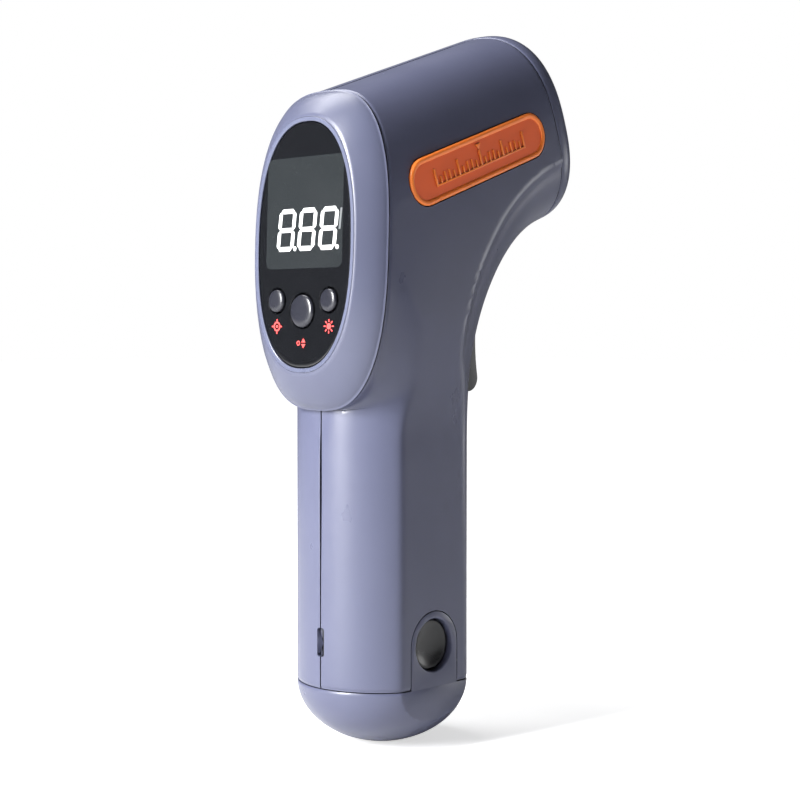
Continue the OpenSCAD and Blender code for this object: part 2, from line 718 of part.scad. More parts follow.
module cap_contact() {
    color("silver") translate([0, grip_mid, cap_z - 1.5]) difference() {
        union() {
            translate([-9, -3.5, 0]) cube([18, 7, contact_t]);
            for (s = [-1, 1]) translate([s * cell_x, 0, 0]) cylinder(r = 2.4, h = 3.8);
        }
        for (s = [-1, 1]) translate([s * cell_x, 0, contact_t + 0.4]) cylinder(r = 1.6, h = 4);
    }
}
flange_t = 0.7;
button_back = flat_x - tongue_t - 0.1 - flange_t;
module release_button() {
    translate([0, grip_mid, release_z]) {
        x_bar(release_r, button_back, flat_x - release_inset);
        x_bar(release_r + 0.9, button_back, button_back + flange_t);
    }
}
module release_button_right() { color([0.2, 0.21, 0.23]) release_button(); }
module release_button_left() { color([0.2, 0.21, 0.23]) mirror([1, 0, 0]) release_button(); }
// Leaf that stands in a pocket of the cap and bears on the button's back
leaf_t = 0.3;
leaf_w = 5;
leaf_x = button_back - 0.5;
module release_spring() {
    translate([leaf_x - leaf_t / 2, grip_mid - leaf_w / 2, cap_z - 6.9])
        cube([leaf_t, leaf_w, release_z - cap_z + 9.5]);
}
module release_spring_right() { color("silver") release_spring(); }
module release_spring_left() { color("silver") mirror([1, 0, 0]) release_spring(); }

module lanyard_bar() {
    color("silver") translate([0, bar_y, slot_z]) x_bar(bar_r, -5, 5);
}

// The origin goes under the middle of the outer box
box_back = seam_y(oval_z) + (window_face - key_proud) * cos(bezel_lean) + key_z[0] * sin(bezel_lean);
box_front = max([for (k = [0 : RING_STEPS])
    nose_y + ring_y(k) * cos(tilt) + (nose_up - ring_inset(k)) * sin(tilt)]);
module place() {
    translate([0, -(box_back + box_front) / 2, 0]) children();
}

place() left_shell();
place() right_shell();
place() display_bezel();
place() display_window();
place() lcd_panel();
place() lcd_frame();
place() backlight_plate();
place() display_board();
place() keypad_mat();
place() key_laser();
place() key_unit();
place() key_light();
place() main_board();
place() trigger_switch();
place() buzzer();
place() trigger();
place() trigger_pin();
place() trigger_spring();
place() nose_ring();
place() nose_plate();
place() lens_tube();
place() infrared_lens();
place() lens_retainer();
place() thermopile_sensor();
place() sensor_board();
place() laser_module();
place() laser_window();
place() badge_left();
place() badge_right();
place() case_screws();
place() battery_tray();
place() battery_cells();
place() cell_contacts();
place() battery_cap();
place() cap_contact();
place() release_button_left();
place() release_button_right();
place() release_spring_left();
place() release_spring_right();
place() lanyard_bar();
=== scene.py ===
"""Looks of the infrared thermometer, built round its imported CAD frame."""
import math

import bmesh
import bpy
import numpy as np
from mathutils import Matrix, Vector


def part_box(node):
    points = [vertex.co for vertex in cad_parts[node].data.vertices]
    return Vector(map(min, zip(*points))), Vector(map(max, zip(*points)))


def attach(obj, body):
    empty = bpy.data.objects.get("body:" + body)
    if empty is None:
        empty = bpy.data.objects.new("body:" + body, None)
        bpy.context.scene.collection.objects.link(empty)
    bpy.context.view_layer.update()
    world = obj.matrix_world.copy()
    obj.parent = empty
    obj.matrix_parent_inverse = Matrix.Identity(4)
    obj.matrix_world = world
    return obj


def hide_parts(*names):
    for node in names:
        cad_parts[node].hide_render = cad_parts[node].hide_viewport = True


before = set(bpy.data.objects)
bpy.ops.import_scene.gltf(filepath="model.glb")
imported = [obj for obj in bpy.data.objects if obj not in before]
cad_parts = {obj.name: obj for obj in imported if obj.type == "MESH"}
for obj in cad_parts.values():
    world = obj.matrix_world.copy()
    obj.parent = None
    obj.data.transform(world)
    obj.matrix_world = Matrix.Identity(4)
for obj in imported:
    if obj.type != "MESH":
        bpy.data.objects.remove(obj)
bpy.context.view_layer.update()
MM = 0.001

# Driving sizes in millimetres, as in the CAD model
GRIP_W, GRIP_R, GRIP_STRETCH = 29.8, 17.5, 1.15
CAP_Z, CURVE_Z = 13.2, 62.3
TILT, LEAN = math.radians(19.7), math.radians(1.7)
SEAM_LOW_Z, OVAL_Z, OVAL_UP, OVAL_HALF, OVAL_N = 69.7, 104.2, 30.8, 18.9, 2.7
NOSE_Y, NOSE_HALF, NOSE_UP, NOSE_N, RING_DEPTH = 37.0, 18.0, 21.7, 2.48, 5.6
WALL = 2.0
BEZEL_DEPTH, WINDOW_HALF, WINDOW_UP, WINDOW_N = 5.7, 13.3, 24.8, 2.35
WINDOW_T, LIP_W, WINDOW_Z = 1.5, 1.2, -1.0
KEY_SPOTS = {
    "key_laser": (-7.6, -12.3, 2.4),
    "key_unit": (0.0, -14.4, 3.4),
    "key_light": (7.6, -12.3, 2.4),
}
KEY_GAP = 0.2
TRIGGER_W, TRIGGER_Y, TRIGGER_LOW = 10.4, 25.3, 72.8
PIN_Y, PIN_Z, PIN_R = 19.5, 98.0, 1.5
TONGUE_W, RELEASE_Z, RELEASE_R, RELEASE_INSET = 13.7, 21.5, 5.2, 1.2
BADGE_L, BADGE_H, BADGE_MID, BADGE_T, BADGE_PROUD = 45.6, 9.7, (11.0, 122.0), 1.4, 0.35
SLOT_Z, SLOT_H, SLOT_W, SLOT_ROUND = 22.55, 5.9, 2.0, 0.6
NOSE_OPEN, PLATE_IN, RING_ROUND = 4.6, 1.2, 4.0
SCREWS = ((GRIP_STRETCH / 2, 67.0), (-9.0, 99.0), (24.0, 109.8))
SCREW_HEAD_R, SCREW_SINK = 2.3, 2.2

# Looks-only sizes in millimetres
SEAM_HALF, SPLIT_HALF = 0.23, 0.17
EDGE_DEPTH, EDGE_WIDTH = 0.2, 0.34
TRIGGER_GAP, TRIGGER_CUT_H, TRIGGER_CUT_LOW = 0.4, 26.0, 1.2
BADGE_GAP = 0.25
MARK_LIFT, MARK_T, MARK_ROOT = 0.005, 0.045, 0.05

# Points round an outline, and the angle in degrees above which an edge is sharp
AROUND, SMOOTH_ANGLE = 144, 32

# Painted seam shade: its reach in metres and its linear colour, then the strengths of floor and world
SEAM_SHADE_REACH, SEAM_SHADE_TONE = 0.0009, (0.01, 0.01, 0.012, 1)
FLOOR_GLOW, FILL = 0.62, 0.1

FLAT_X = GRIP_W / 2
GRIP_MID = GRIP_STRETCH / 2
GRIP_FRONT = GRIP_R + GRIP_STRETCH
OVAL_DOWN = OVAL_Z - SEAM_LOW_Z
OVAL_TOP = OVAL_Z + OVAL_UP
FACE_Y = -BEZEL_DEPTH
SEAM_LOW_Y = -GRIP_R - 0.15
WIDEN_LOW, WIDEN_SPAN = SEAM_LOW_Z - 5.7, 30.0
AXIS_DIR = np.array([math.cos(TILT), math.sin(TILT)])
AXIS_UP = np.array([-math.sin(TILT), math.cos(TILT)])


def seam_y(z):
    return SEAM_LOW_Y + (z - SEAM_LOW_Z) * math.tan(LEAN)


NOSE_Z = (OVAL_TOP + (NOSE_Y - NOSE_UP * math.sin(TILT) - seam_y(OVAL_TOP)) * math.tan(TILT)
          - NOSE_UP * math.cos(TILT))
NOSE_MID = np.array([NOSE_Y, NOSE_Z])
NOSE_LOW = NOSE_MID - NOSE_UP * AXIS_UP
NOSE_HIGH = NOSE_MID + NOSE_UP * AXIS_UP
CURVE_LOW = np.array([GRIP_FRONT, CURVE_Z])
CURVE_IN = CURVE_LOW + [0, 14.2]
CURVE_OUT = NOSE_LOW - 25.8 * AXIS_DIR

pin_low, pin_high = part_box("trigger_pin")
SHIFT_Y = (pin_low[1] + pin_high[1]) / 2 / MM - PIN_Y


# ---------------------------------------------------------------- body form

def oval_at(q, n):
    return np.maximum(0, 1 - np.minimum(1, np.abs(q)) ** n) ** (1 / n)


def smooth(t):
    t = np.clip(t, 0, 1)
    return t * t * (3 - 2 * t)


def soft_min(a, b, k):
    """Lower of two values, with the corner between them rounded over k."""
    h = np.clip(0.5 + 0.5 * (b - a) / k, 0, 1)
    return b + (a - b) * h - k * h * (1 - h)


def axis_height(y, z):
    return (z - (y - seam_y(0)) * math.tan(TILT)) / (1 - math.tan(LEAN) * math.tan(TILT))


def oval_x(z, inset):
    up = np.where(z > OVAL_Z, OVAL_UP, OVAL_DOWN) - inset
    return (OVAL_HALF - inset) * oval_at((z - OVAL_Z) / up, OVAL_N)


def round_x(depth, inset):
    inner = np.maximum(0, GRIP_R - depth)
    return np.sqrt(np.maximum(0, (GRIP_R - inset) ** 2 - inner ** 2))


def curve_at(t):
    t = np.asarray(t, float)[..., None]
    return ((1 - t) ** 3 * CURVE_LOW + 3 * (1 - t) ** 2 * t * CURVE_IN
            + 3 * (1 - t) * t * t * CURVE_OUT + t ** 3 * NOSE_LOW)


def curve_inset(t, inset):
    step = 1e-4
    d = curve_at(np.minimum(t + step, 1)) - curve_at(np.maximum(t - step, 0))
    d /= np.linalg.norm(d, axis=-1, keepdims=True)
    return curve_at(t) + inset * np.stack([-d[..., 1], d[..., 0]], -1)


CURVE_LINE = curve_at(np.linspace(0, 1, 120))


def front_depth(y, z):
    """Distance from the grip's front and the concave curve under the barrel."""
    p = np.stack([y, z], -1).reshape(-1, 1, 2)
    a, b = CURVE_LINE[:-1], CURVE_LINE[1:]
    ab = b - a
    t = np.clip(((p - a) * ab).sum(-1) / (ab * ab).sum(-1), 0, 1)
    gap = np.linalg.norm(p - a - t[..., None] * ab, axis=-1).min(1).reshape(y.shape)
    return np.where(z <= CURVE_Z, GRIP_FRONT - y, gap)


NOSE_LOW_E = axis_height(*NOSE_LOW)
NOSE_MID_E = axis_height(*NOSE_MID)


def body_x(y, z, inset=0.0):
    e = axis_height(y, z)
    along = np.clip((y - seam_y(z)) / (NOSE_Y - seam_y(z)), 0, 1)
    top_half = OVAL_TOP - NOSE_MID_E - inset
    at_nose = (NOSE_HALF - inset) * oval_at(np.maximum(0, e - NOSE_MID_E) / top_half, NOSE_N)
    side = (1 - along) * oval_x(e, inset) + along * at_nose
    back = round_x(y + GRIP_R, inset)
    rear = (side ** 6 + back ** 6) ** (1 / 6)
    upper = np.where(e > NOSE_MID_E, side, rear)
    depth = front_depth(y, z)
    turn = smooth((z - depth * 0.3 - 75) / 30)
    under_half = OVAL_HALF + (NOSE_HALF - OVAL_HALF) * along
    under = (under_half - inset) * oval_at(np.maximum(0, NOSE_UP - depth) / (NOSE_UP - inset), NOSE_N)
    front = (1 - turn) * round_x(depth, inset) + turn * under + 4 * smooth((depth - 12) / 8)
    widen = (OVAL_HALF + 0.1 - FLAT_X) * smooth((z - WIDEN_LOW) / WIDEN_SPAN)
    flat = FLAT_X - inset + widen
    lowest = np.minimum.reduce([upper, front, under_half - inset])
    return np.maximum(0, soft_min(lowest, flat, 0.5))


def face_x(y, z):
    """Half width of the body at one point of the side view."""
    return float(body_x(np.array([y]), np.array([z]))[0])


def side_rows(inset, past, fine):
    """Side view stations from the cap seam up to the top line: back and front points."""
    edge = [0, 0.08, 0.16, 0.26, 0.4, 0.7] if fine else [0]
    grip = np.linspace(CAP_Z + 1.5, CURVE_Z - 1, 12 if fine else 2)
    back, front = [], []
    for z in [CAP_Z - past + e for e in edge] + list(grip):
        back.append((-GRIP_R + inset, z))
        front.append((GRIP_FRONT - inset, z))
    split = SEAM_LOW_Z + inset
    low_steps, mid_steps, side_steps, top_steps = (10, 44, 26, 58) if fine else (4, 16, 10, 18)
    share = 0.3
    for f in np.linspace(0, 1, low_steps + 1):
        back.append((-GRIP_R + inset, CURVE_Z + (split - CURVE_Z) * f))
        front.append(tuple(curve_inset(f * share, inset)))
    for f in np.linspace(0, 1, mid_steps + 1)[(0 if inset > 0 else 1):]:
        z = split + (NOSE_LOW_E + inset - split) * f ** 1.8
        back.append((seam_y(z) - past, z - past * math.tan(TILT) * f))
        front.append(tuple(curve_inset(share + (1 - share) * f, inset) + past * f * AXIS_DIR))
    low, high, start = NOSE_LOW + inset * AXIS_UP, NOSE_HIGH - inset * AXIS_UP, NOSE_LOW_E + inset
    top = OVAL_TOP - inset
    quarter = np.arange(1, side_steps + 1) / side_steps
    heights = list(start + (OVAL_Z - start) * (1 - np.cos(quarter * math.pi / 2)))
    turns = list(np.radians(np.linspace(0, 88.4, top_steps))[1:])
    turns += [math.radians(a) for a in ((88.8, 89.2, 89.5, 89.7, 89.85, 90) if fine else (90,))]
    heights += [OVAL_Z + (top - OVAL_Z) * math.sin(a) ** (2 / OVAL_N) for a in turns]
    for z in heights:
        f = (z - start) / (top - start)
        back.append((seam_y(z) - past, z - past * math.tan(TILT)))
        front.append(tuple(low + (high - low) * f + past * AXIS_DIR))
    return np.array(back), np.array(front)


def half_grid(inset, past, start_x, fine):
    """Outer side of the body's right half as a grid of points."""
    back, front = side_rows(inset, past, fine)
    chord = front - back
    length = np.linalg.norm(chord, axis=1)
    open_back = (back[:, 1] > SEAM_LOW_Z + inset) & (back[:, 0] < -GRIP_R + inset - 0.01)
    open_back |= back[:, 1] > SEAM_LOW_Z + inset + 0.5
    open_front = back[:, 1] > NOSE_LOW_E + inset - past + 0.01
    if fine:
        lead = np.array([0, 0.1, 0.2, 0.32, 0.48, 0.7, 1.1, 1.7])
        inner = 66
    else:
        lead = np.array([0.0])
        inner = 28
    closed = (lead + start_x) ** 2 / (2 * GRIP_R)
    closed[0] = 0
    first = np.where(open_back[:, None], lead, closed)
    last = np.where(open_front[:, None], lead, closed)
    t = (1 - np.cos(np.linspace(0, math.pi, inner + 2)))[1:-1] / 2
    middle = first[:, -1:] + (length[:, None] - first[:, -1:] - last[:, -1:]) * t
    u = np.concatenate([first, middle, length[:, None] - last[:, ::-1]], 1)
    p = back[:, None] + chord[:, None] * (u / length[:, None])[..., None]
    x = np.maximum(body_x(p[..., 0], p[..., 1], inset), start_x + 0.01)
    return np.stack([x, p[..., 0], p[..., 1]], -1)


def ease_edges(grid, start_x):
    """Rounds the grid inward along every seam."""
    d_row, d_col = np.gradient(grid, axis=0), np.gradient(grid, axis=1)
    normal = np.cross(d_col, d_row)
    normal /= np.maximum(np.linalg.norm(normal, axis=-1, keepdims=True), 1e-9)
    normal *= np.where(normal[..., :1] < -0.05, -1, 1)
    x, y, z = grid[..., 0], grid[..., 1], grid[..., 2]
    to_nose = (NOSE_MID[0] - y) * AXIS_DIR[0] + (NOSE_MID[1] - z) * AXIS_DIR[1]
    gap = np.minimum.reduce([x - start_x, y - seam_y(z) - SEAM_HALF, to_nose - SEAM_HALF,
                             z - CAP_Z - SEAM_HALF])
    sink = EDGE_DEPTH * np.clip(1 - gap / EDGE_WIDTH, 0, 1) ** 2
    return grid - normal * sink[..., None]


# ---------------------------------------------------------------- mesh tools

def new_object(name, verts, faces):
    """A mesh object from points in the CAD model's millimetres."""
    mesh = bpy.data.meshes.new(name)
    points = (np.asarray(verts, float) + [0, SHIFT_Y, 0]) * MM
    mesh.from_pydata(points.tolist(), [], [tuple(f) for f in faces])
    mesh.validate()
    work = bmesh.new()
    work.from_mesh(mesh)
    bmesh.ops.remove_doubles(work, verts=work.verts, dist=1e-7)
    bmesh.ops.recalc_face_normals(work, faces=work.faces)
    work.to_mesh(mesh)
    work.free()
    obj = bpy.data.objects.new(name, mesh)
    bpy.context.scene.collection.objects.link(obj)
    shade(obj, SMOOTH_ANGLE)
    return obj


def shade(obj, angle):
    for poly in obj.data.polygons:
        poly.use_smooth = True
    obj.data.set_sharp_from_angle(angle=math.radians(angle))


def apply_modifiers(obj, angle=SMOOTH_ANGLE):
    graph = bpy.context.evaluated_depsgraph_get()
    mesh = bpy.data.meshes.new_from_object(obj.evaluated_get(graph))
    obj.modifiers.clear()
    old = obj.data
    obj.data = mesh
    bpy.data.meshes.remove(old)
    shade(obj, angle)


def boolean(obj, tools, operation="DIFFERENCE"):
    for tool in tools:
        mod = obj.modifiers.new("bool", "BOOLEAN")
        mod.operation, mod.solver, mod.object = operation, "MANIFOLD", tool
        apply_modifiers(obj)
    for tool in tools:
        bpy.data.objects.remove(tool, do_unlink=True)
    return obj


def bevel(obj, width, segments, angle=30):
    mod = obj.modifiers.new("bevel", "BEVEL")
    mod.width, mod.segments, mod.limit_method = width * MM, segments, "ANGLE"
    mod.angle_limit = math.radians(angle)
    apply_modifiers(obj, 40)


def grid_faces(rows, cols, offset=0, wrap=False, flip=False):
    faces = []
    for j in range(rows - 1):
        for i in range(cols if wrap else cols - 1):
            k = (i + 1) % cols
            quad = (offset + j * cols + i, offset + j * cols + k,
                    offset + (j + 1) * cols + k, offset + (j + 1) * cols + i)
            faces.append(quad[::-1] if flip else quad)
    return faces


def half_solid(name, inset, past, start_x, fine, mirror):
    grid = half_grid(inset, past, start_x, fine)
    if fine:
        grid = ease_edges(grid, start_x)
    rows, cols = grid.shape[:2]
    flat = grid.copy()
    flat[..., 0] = start_x
    points = np.concatenate([grid.reshape(-1, 3), flat.reshape(-1, 3)])
    n = rows * cols
    faces = grid_faces(rows, cols) + grid_faces(rows, cols, n, flip=True)
    rim = ([j * cols for j in range(rows)], [j * cols + cols - 1 for j in range(rows)],
           list(range(cols)), [(rows - 1) * cols + i for i in range(cols)])
    for line in rim:
        faces += [(a, b, b + n, a + n) for a, b in zip(line[:-1], line[1:])]
    if mirror:
        points[:, 0] *= -1
    return new_object(name, points, faces)


def rings_object(name, rings, closed_loop=False):
    """Skin through rings of equal length; capped, or joined back to the first."""
    rings = [np.asarray(r, float) for r in rings]
    cols = len(rings[0])
    if closed_loop:
        rings = rings + [rings[0]]
    points = np.concatenate(rings)
    faces = grid_faces(len(rings), cols, wrap=True)
    if not closed_loop:
        faces.append(tuple(range(cols))[::-1])
        faces.append(tuple(range((len(rings) - 1) * cols, len(rings) * cols)))
    return new_object(name, points, faces)


def circle(r, count):
    t = np.linspace(0, 2 * math.pi, count, endpoint=False)
    return np.stack([r * np.cos(t), r * np.sin(t)], -1)


def ring3(outline, y, place):
    """An outline in local (x, z) at local y, which is one value or one for each point."""
    return place(np.stack([outline[:, 0], np.full(len(outline), y), outline[:, 1]], -1))


def across(outline, x):
    """An outline in the side view, as (y, z) points, at one x."""
    return np.stack([np.full(len(outline), x), outline[:, 0], outline[:, 1]], -1)


def lathe(name, profile, place, steps):
    """Turns (radius, height) points about local +Y; place maps local points."""
    return rings_object(name, [ring3(circle(max(r, 1e-4), steps), h, place) for r, h in profile])


def prism(name, outline, axis_low, axis_high, place):
    """Extrudes an outline in local (x, z) along local y."""
    return rings_object(name, [ring3(outline, h, place) for h in (axis_low, axis_high)])


def turned(points, angle_x):
    c, s = math.cos(angle_x), math.sin(angle_x)
    out = points.copy()
    out[:, 1] = c * points[:, 1] - s * points[:, 2]
    out[:, 2] = s * points[:, 1] + c * points[:, 2]
    return out


def on_bezel(points):
    return turned(np.asarray(points, float), -LEAN) + [0, seam_y(OVAL_Z), OVAL_Z]


def on_nose(points):
    return turned(np.asarray(points, float), TILT) + [0, NOSE_Y, NOSE_Z]


def at_spot(x, z, place):
    return lambda p: place(np.asarray(p, float) + [x, 0, z])


SIDE_TAPER = math.atan((OVAL_HALF - NOSE_HALF) / (NOSE_Y - seam_y(OVAL_Z)))
SIDE_X = face_x(*BADGE_MID)


def on_side(mirror):
    """Local x along the barrel, local y outward, local z up, at the badge's middle."""
    def place(points):
        p = np.asarray(points, float)
        local = np.stack([p[:, 1], p[:, 0], p[:, 2]], -1)
        c, s = math.cos(SIDE_TAPER), math.sin(SIDE_TAPER)
        local = np.stack([c * local[:, 0] - s * local[:, 1], s * local[:, 0] + c * local[:, 1],
                          local[:, 2]], -1)
        out = turned(local, TILT) + [SIDE_X, BADGE_MID[0], BADGE_MID[1]]
        return out * [mirror, 1, 1]
    return place


def on_flat(y, z, mirror):
    """Local x along +Y, local y outward from the middle plane, local z up."""
    def place(points):
        p = np.asarray(points, float)
        return np.stack([p[:, 1], p[:, 0] + y, p[:, 2] + z], -1) * [mirror, 1, 1]
    return place


def superellipse(half, up, down, n, z=0.0):
    a = np.linspace(0, 2 * math.pi, AROUND, endpoint=False)
    c, s = np.cos(a), np.sin(a)
    x = half * np.sign(c) * np.abs(c) ** (2 / n)
    return np.stack([x, np.where(s > 0, up, down) * np.sign(s) * np.abs(s) ** (2 / n) + z], -1)


def seam_ring(inset):
    return superellipse(OVAL_HALF - inset, OVAL_UP - inset, OVAL_DOWN - inset, OVAL_N)


def window_ring(grow):
    return superellipse(WINDOW_HALF + grow, WINDOW_UP + grow, WINDOW_UP + grow, WINDOW_N, WINDOW_Z)


def nose_outline(inset):
    return superellipse(NOSE_HALF - inset, NOSE_UP - inset, NOSE_UP - inset, NOSE_N)


def stadium(length, height):
    r, half = height / 2, (length - height) / 2
    turn = np.linspace(-math.pi / 2, math.pi / 2, 28)
    right = [(half + r * math.cos(a), r * math.sin(a)) for a in turn]
    left = [(-x, -z) for x, z in right]
    return np.array(right + left)


def round_box(w, h, r, count=8):
    out = []
    for k, (sx, sz) in enumerate(((1, 1), (-1, 1), (-1, -1), (1, -1))):
        for a in np.linspace(0, math.pi / 2, count):
            t = a + k * math.pi / 2
            out.append((sx * (w / 2 - r) + r * math.cos(t), sz * (h / 2 - r) + r * math.sin(t)))
    return np.array(out)


def dense(outline, step=0.8):
    """The same outline with points no further apart than step."""
    out = []
    for a, b in zip(outline, np.roll(outline, -1, axis=0)):
        count = max(1, int(np.linalg.norm(b - a) / step))
        out += [a + (b - a) * k / count for k in range(count)]
    return np.array(out)


def arch(half, base):
    """Outline of the cap's tongue: straight sides from base up to a round top."""
    top = [(half * math.cos(a), half * math.sin(a)) for a in np.linspace(0, math.pi, 40)]
    return np.array([(half, base)] + top + [(-half, base)])


# ---------------------------------------------------------------- materials

def mat_new(name):
    mat = bpy.data.materials.new(name)
    mat.use_nodes = True
    tree = mat.node_tree
    shader = tree.nodes["Principled BSDF"]
    return mat, tree, shader


def node(tree, kind, inputs=None, **props):
    n = tree.nodes.new(kind)
    for key, value in props.items():
        setattr(n, key, value)
    for key, value in (inputs or {}).items():
        if isinstance(value, bpy.types.NodeSocket):
            tree.links.new(value, n.inputs[key])
        else:
            n.inputs[key].default_value = value
    return n


def position(tree):
    return node(tree, "ShaderNodeNewGeometry").outputs["Position"]


def noise(tree, where, scale, detail=4.0):
    return node(tree, "ShaderNodeTexNoise", {"Vector": where, "Scale": scale, "Detail": detail,
                                             "Roughness": 0.55}).outputs["Fac"]


def span(tree, value, low, high, a, b):
    return node(tree, "ShaderNodeMapRange", {"Value": value, "From Min": low, "From Max": high,
                                             "To Min": a, "To Max": b}).outputs["Result"]


def mix(tree, share, a, b):
    n = tree.nodes.new("ShaderNodeMix")
    n.data_type = "RGBA"
    for key, value in ((0, share), (6, a), (7, b)):
        if isinstance(value, bpy.types.NodeSocket):
            tree.links.new(value, n.inputs[key])
        else:
            n.inputs[key].default_value = value
    return n.outputs[2]


def edge_wear(tree, radius=0.0005):
    """1 on sharp edges, 0 on open faces."""
    soft = node(tree, "ShaderNodeBevel", {"Radius": radius}, samples=6)
    flat = node(tree, "ShaderNodeNewGeometry")
    dot = node(tree, "ShaderNodeVectorMath", operation="DOT_PRODUCT")
    tree.links.new(soft.outputs["Normal"], dot.inputs[0])
    tree.links.new(flat.outputs["Normal"], dot.inputs[1])
    return span(tree, dot.outputs["Value"], 0.8, 0.98, 1.0, 0.0)


def painted_seam_shade(tree, colour):
    """Painted shade: darkens colour to near black inside narrow seams, where ambient occlusion finds close
    surfaces.
    """
    facing = node(tree, "ShaderNodeNewGeometry").outputs["True Normal"]
    near = node(tree, "ShaderNodeAmbientOcclusion", {"Distance": SEAM_SHADE_REACH, "Normal": facing}, samples=8)
    return mix(tree, span(tree, near.outputs["AO"], 0.2, 0.7, 1.0, 0.0), colour, SEAM_SHADE_TONE)


def bumps(tree, shader, strength, distance, height):
    bump = node(tree, "ShaderNodeBump", {"Strength": strength, "Distance": distance, "Height": height})
    tree.links.new(bump.outputs["Normal"], shader.inputs["Normal"])


def linear(rgb):
    """Screen colour from 0 to 255 as linear light with full alpha."""
    out = []
    for v in rgb:
        v /= 255
        out.append(v / 12.92 if v <= 0.04045 else ((v + 0.055) / 1.055) ** 2.4)
    return (*out, 1.0)


def tinted(base, scale, add=0.0):
    return tuple(min(1, c * scale + add) for c in base[:3]) + (1,)


def plastic(name, rgb, rough, bump, grain=900.0, coat=0.0, specular=0.5, mottle=0.12):
    """Moulded plastic: spark-eroded grain, faint mottling, rubbed edges and painted shade in narrow seams."""
    mat, tree, shader = mat_new(name)
    where = position(tree)
    base = linear(rgb)
    broad = noise(tree, where, 35.0)
    fine = noise(tree, where, grain, 3.0)
    dark, light = tinted(base, 1 - mottle), tinted(base, 1 + mottle, 0.002)
    colour = mix(tree, span(tree, broad, 0.3, 0.7, 0.0, 1.0), dark, light)
    edge = node(tree, "ShaderNodeMath", {0: edge_wear(tree), 1: 0.35}, operation="MULTIPLY").outputs[0]
    colour = mix(tree, edge, colour, tinted(base, 1.25, 0.02))
    # Painted shade: the colour turns near black in narrow seams
    tree.links.new(painted_seam_shade(tree, colour), shader.inputs["Base Color"])
    tree.links.new(span(tree, noise(tree, where, 60.0, 5.0), 0.3, 0.7, rough - 0.06, rough + 0.06),
                   shader.inputs["Roughness"])
    bumps(tree, shader, bump, 0.00006, fine)
    shader.inputs["Specular IOR Level"].default_value = specular
    shader.inputs["Coat Weight"].default_value = coat
    shader.inputs["Coat Roughness"].default_value = 0.08
    return mat


def metal(name, rgb, rough):
    """Turned or rolled metal: fine grain, tarnish and bright edges."""
    mat, tree, shader = mat_new(name)
    where = position(tree)
    base = linear(rgb)
    scaled = node(tree, "ShaderNodeMapping", {"Vector": where, "Scale": (1200, 1200, 1200)})
    grain = noise(tree, scaled.outputs["Vector"], 1.0, 3.0)
    tarnish = span(tree, noise(tree, where, 140.0), 0.4, 0.75, 0.0, 0.5)
    dulled = mix(tree, tarnish, base, tinted(base, 0.6))
    colour = mix(tree, edge_wear(tree, 0.0003), dulled, tinted(base, 1.2))
    tree.links.new(colour, shader.inputs["Base Color"])
    tree.links.new(span(tree, grain, 0.3, 0.7, rough - 0.08, rough + 0.1), shader.inputs["Roughness"])
    bumps(tree, shader, 0.15, 0.00003, grain)
    shader.inputs["Metallic"].default_value = 1.0
    return mat


def glossy(name, rgb, rough, bump=0.02, specular=0.5, coat=0.0):
    """Polished sheet or glass: slight waviness, dust and smears."""
    mat, tree, shader = mat_new(name)
    where = position(tree)
    base = linear(rgb)
    dust = span(tree, noise(tree, where, 2600.0, 2.0), 0.68, 0.78, 0.0, 0.25)
    tree.links.new(mix(tree, dust, base, tinted(base, 1, 0.08)), shader.inputs["Base Color"])
    tree.links.new(span(tree, noise(tree, where, 90.0, 6.0), 0.35, 0.75, rough, rough + 0.08),
                   shader.inputs["Roughness"])
    bumps(tree, shader, bump, 0.0002, noise(tree, where, 60.0, 1.0))
    shader.inputs["Specular IOR Level"].default_value = specular
    shader.inputs["Coat Weight"].default_value = coat
    return mat


def board(name, rgb):
    """Printed circuit board: solder mask over copper tracks and pads."""
    mat, tree, shader = mat_new(name)
    where = position(tree)
    scaled = node(tree, "ShaderNodeMapping", {"Vector": where, "Scale": (700, 700, 700)}).outputs["Vector"]
    cells = node(tree, "ShaderNodeTexVoronoi", {"Vector": scaled, "Scale": 0.5}, distance="CHEBYCHEV")
    track = span(tree, cells.outputs["Distance"], 0.30, 0.34, 0.0, 1.0)
    base = linear(rgb)
    tree.links.new(mix(tree, track, tinted(base, 2.2, 0.01), base), shader.inputs["Base Color"])
    tree.links.new(span(tree, noise(tree, where, 400.0), 0.3, 0.7, 0.28, 0.45), shader.inputs["Roughness"])
    bumps(tree, shader, 0.4, 0.00005, track)
    return mat


